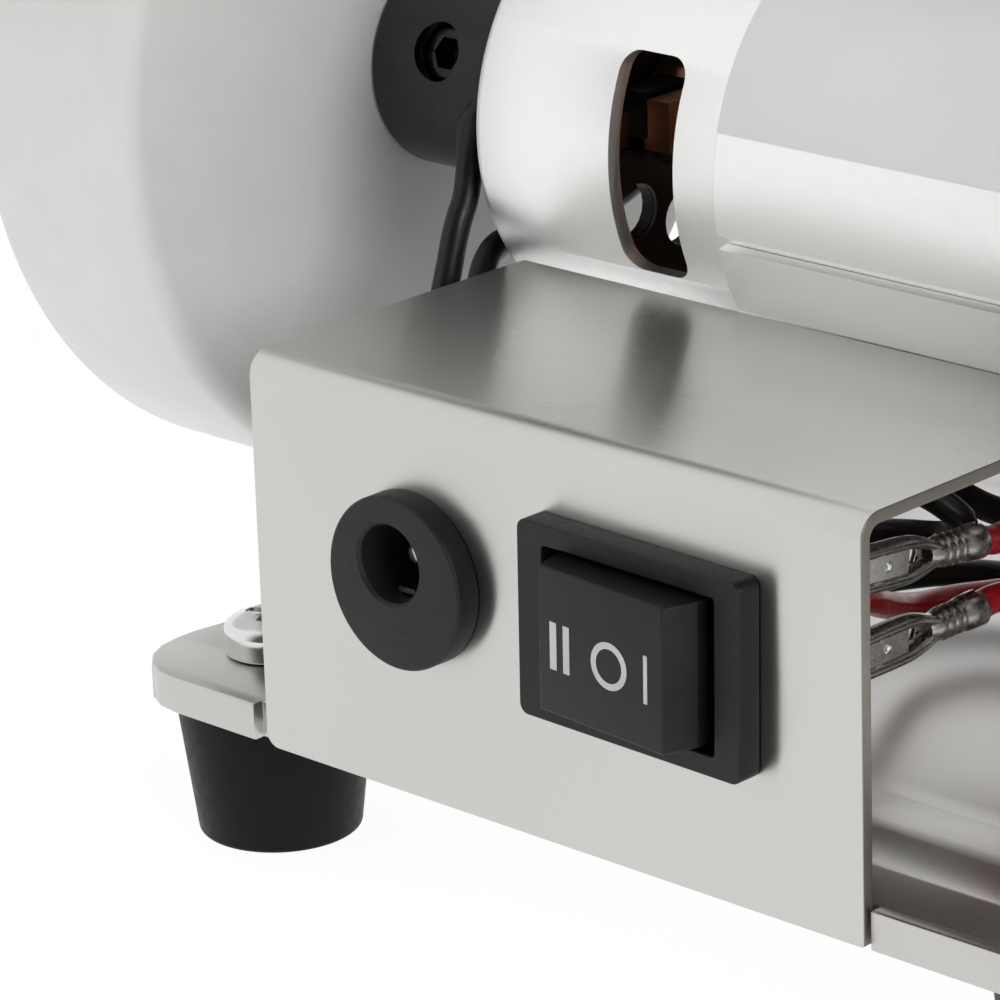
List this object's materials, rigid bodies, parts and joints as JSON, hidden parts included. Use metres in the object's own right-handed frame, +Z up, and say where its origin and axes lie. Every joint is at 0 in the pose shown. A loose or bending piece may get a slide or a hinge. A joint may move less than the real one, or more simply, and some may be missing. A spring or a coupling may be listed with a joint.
{
  "type": "mini bench grinder",
  "caption": "Mini double-ended bench grinder: an open steel base with a control housing, power socket and rocker switch, a small motor and a white wheel on each end of its spindle.",
  "frame": {"origin": "on the bench, under the middle of the whole machine", "axes": "+X along the spindle towards the right wheel, +Y to the back, away from the switch, +Z up"},
  "size_m": [0.168, 0.0973, 0.0896],
  "materials": {
    "base_steel": "polished stainless, fine vertical grain",
    "housing_steel": "satin brushed stainless",
    "jack_plastic": "matte black",
    "switch_plastic": "fine satin, charcoal, with printed white marks",
    "bright_steel": "bright plated",
    "tin_plate": "dull tin plate",
    "nickel": "bright nickel plate",
    "label_foil": "silver satin, unprinted",
    "bronze": "sintered, oily",
    "ferrite": "matte dark grey",
    "core_iron": "laminated",
    "copper": "bare and enamelled copper",
    "black_steel": "black oxide, glossy",
    "wheel_abrasive": "fine white abrasive, matte",
    "foot_rubber": "satin black",
    "red_insulation": "soft glossy red",
    "black_insulation": "soft glossy black"
  },
  "bodies": {
    "base": {"base_plate": "base_steel", "control_housing": "housing_steel", "motor_bracket": "housing_steel", "dc_jack_body": "jack_plastic", "dc_jack_pin": "bright_steel", "dc_jack_nut": "bright_steel", "dc_jack_contact": "tin_plate", "switch_body": "switch_plastic", "spade_connector_upper": "tin_plate", "spade_connector_lower": "tin_plate", "motor_can": "nickel", "flux_ring": "nickel", "motor_label": "label_foil", "end_cap": "jack_plastic", "rear_bearing": "bronze", "front_bearing": "bronze", "magnet_upper": "ferrite", "magnet_lower": "ferrite", "brush_front": "copper", "brush_rear": "copper", "motor_terminal_front": "tin_plate", "motor_terminal_rear": "tin_plate", "mount_screw_front": "bright_steel", "mount_screw_rear": "bright_steel", "motor_lead_front": "black_insulation", "motor_lead_rear": "black_insulation", "jack_lead_black": "black_insulation", "jack_lead_red": "red_insulation", "switch_lead_upper": "red_insulation", "switch_lead_lower": "red_insulation", "rubber_foot_front_left": "foot_rubber", "foot_screw_front_left": "bright_steel", "rubber_foot_front_right": "foot_rubber", "foot_screw_front_right": "bright_steel", "rubber_foot_rear_left": "foot_rubber", "foot_screw_rear_left": "bright_steel", "rubber_foot_rear_right": "foot_rubber", "foot_screw_rear_right": "bright_steel", "switch_tab_left_upper": "tin_plate", "switch_tab_left_lower": "tin_plate", "switch_tab_middle_upper": "tin_plate", "switch_tab_middle_lower": "tin_plate", "switch_tab_right_upper": "tin_plate", "switch_tab_right_lower": "tin_plate"},
    "spindle": {"motor_shaft": "bright_steel", "armature_core": "core_iron", "winding_left": "copper", "winding_right": "copper", "commutator": "copper", "arbor_left": "black_steel", "set_screw_left": "black_steel", "wheel_left": "wheel_abrasive", "flange_washer_left": "bright_steel", "arbor_nut_left": "bright_steel", "arbor_right": "black_steel", "set_screw_right": "black_steel", "wheel_right": "wheel_abrasive", "flange_washer_right": "bright_steel", "arbor_nut_right": "bright_steel"},
    "rocker": {"switch_rocker": "switch_plastic"}
  },
  "joints": [
    {"name": "spindle_spin", "type": "hinge", "parent": "base", "child": "spindle", "pos_m": [0, 0.00264, 0.0535], "axis": [1, 0, 0], "continuous": true},
    {"name": "rocker_tilt", "type": "hinge", "parent": "base", "child": "rocker", "pos_m": [0.00796, -0.0401, 0.02999], "axis": [0.0175, 0, 0.9998], "range_deg": [-6.7, 13.3]}
  ]
}
